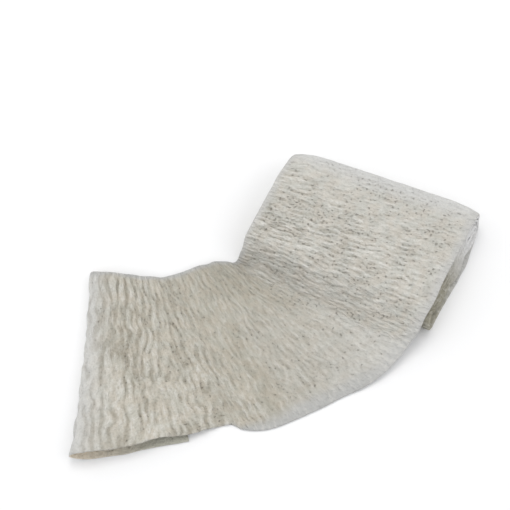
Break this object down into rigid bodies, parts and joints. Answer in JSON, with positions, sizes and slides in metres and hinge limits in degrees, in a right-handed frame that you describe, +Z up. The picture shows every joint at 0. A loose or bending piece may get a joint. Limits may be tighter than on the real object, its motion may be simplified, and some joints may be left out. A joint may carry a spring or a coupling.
{
  "type": "crepe bandage roll",
  "caption": "Woven cotton crepe bandage, partly unrolled: a pressed-flat roll whose loose end sweeps round and folds under.",
  "frame": {"origin": "on the surface it rests on, under the middle of its bounding box", "axes": "+Z up, +X to the right along the strip's sweep with the roll at the right, +Y away from the viewer"},
  "size_m": [0.1588, 0.1216, 0.0152],
  "materials": {
    "crepe_cotton": "undyed off-white crepe cotton, matt, crinkled across the strip, with smooth selvedges"
  },
  "bodies": {
    "root": {"bandage": "crepe_cotton"}
  },
  "joints": []
}
